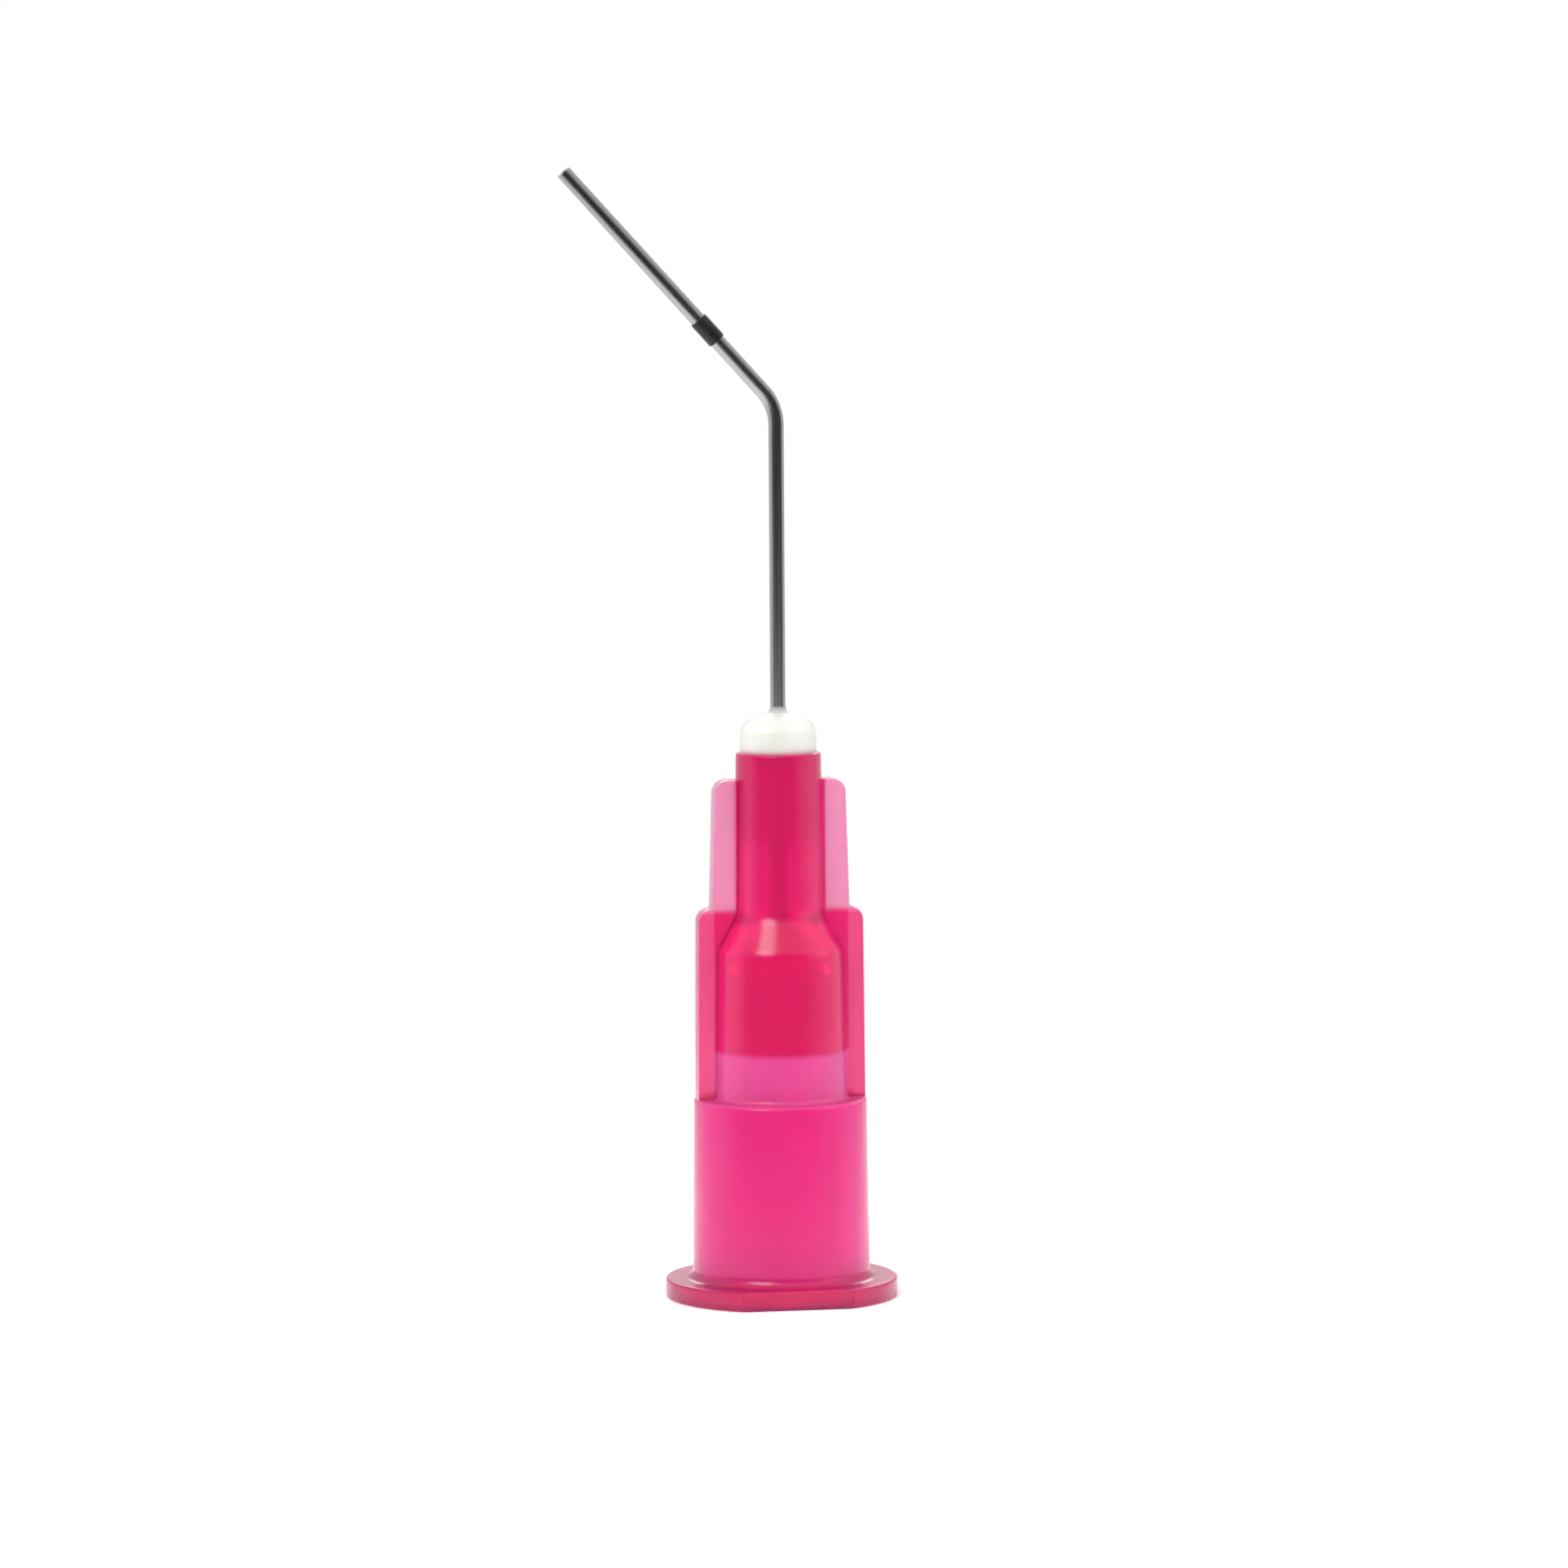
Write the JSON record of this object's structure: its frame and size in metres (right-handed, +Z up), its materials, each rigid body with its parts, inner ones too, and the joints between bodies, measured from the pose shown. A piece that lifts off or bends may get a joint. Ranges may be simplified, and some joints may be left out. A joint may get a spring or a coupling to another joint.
{
  "type": "dispensing needle tip",
  "caption": "Luer-lock dispensing tip: a moulded hub with grip wings holds a bonded, bent stainless cannula that lays fluid where a straight tip can't reach.",
  "frame": {"origin": "centre of the luer socket's mouth, on the hub's bottom face", "axes": "+Z up the hub's axis towards the cannula; the grip wings lie along X and the cannula bends towards -X"},
  "size_m": [0.0111, 0.0068, 0.0378],
  "materials": {
    "hub": "translucent magenta-pink polypropylene, as moulded",
    "cannula": "drawn stainless tube, fine lengthwise lines",
    "adhesive": "cured milky epoxy, glossy",
    "band": "black lacquer, semi-gloss"
  },
  "bodies": {
    "root": {"hub": "hub", "cannula": "cannula", "adhesive_bead": "adhesive", "depth_band": "band"}
  },
  "joints": []
}
